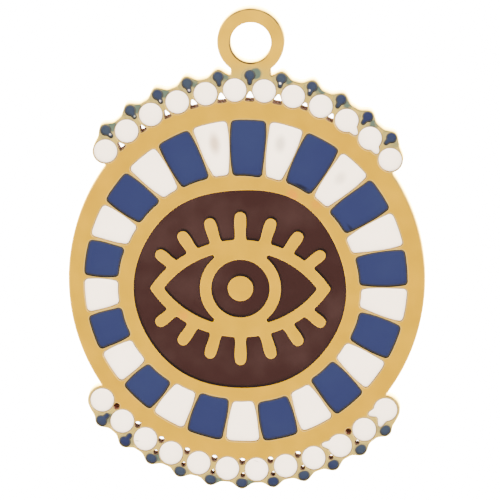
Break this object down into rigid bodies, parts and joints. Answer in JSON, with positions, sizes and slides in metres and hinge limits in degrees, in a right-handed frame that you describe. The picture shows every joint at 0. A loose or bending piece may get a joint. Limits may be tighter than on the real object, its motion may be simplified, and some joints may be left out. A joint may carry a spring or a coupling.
{
  "type": "eye pendant",
  "caption": "Flat gold-plated eye pendant with a cast loop: a rayed eye in brown enamel, a ring of blue and white enamel blocks, and pierced rows of enamel dots above and below.",
  "frame": {"origin": "below the middle of the whole outline, on the plane of the flat back", "axes": "+Z out of the decorated face, +Y towards the loop, +X to the right as the face is seen with its loop up"},
  "size_m": [0.0366, 0.05, 0.0024],
  "materials": {
    "gold_plating": "gold plated, satin, with slight orange stains",
    "white_enamel": "glossy cold enamel",
    "blue_enamel": "glossy cold enamel",
    "teal_enamel": "glossy cold enamel, bled a little onto the metal",
    "brown_enamel": "glossy cold enamel"
  },
  "bodies": {
    "root": {"plate": "gold_plating", "brown_field": "brown_enamel", "eye_corner_left": "brown_enamel", "eye_corner_right": "brown_enamel", "iris": "brown_enamel", "blue_block_01": "blue_enamel", "white_block_01": "white_enamel", "blue_block_02": "blue_enamel", "white_block_02": "white_enamel", "blue_block_03": "blue_enamel", "white_block_03": "white_enamel", "blue_block_04": "blue_enamel", "white_block_04": "white_enamel", "blue_block_05": "blue_enamel", "white_block_05": "white_enamel", "blue_block_06": "blue_enamel", "white_block_06": "white_enamel", "blue_block_07": "blue_enamel", "white_block_07": "white_enamel", "blue_block_08": "blue_enamel", "white_block_08": "white_enamel", "blue_block_09": "blue_enamel", "white_block_09": "white_enamel", "blue_block_10": "blue_enamel", "white_block_10": "white_enamel", "blue_block_11": "blue_enamel", "white_block_11": "white_enamel", "blue_block_12": "blue_enamel", "white_block_12": "white_enamel", "blue_block_13": "blue_enamel", "white_block_13": "white_enamel", "upper_white_dots": "white_enamel", "lower_white_dots": "white_enamel", "upper_blue_dots": "teal_enamel", "lower_blue_dots": "teal_enamel"}
  },
  "joints": []
}
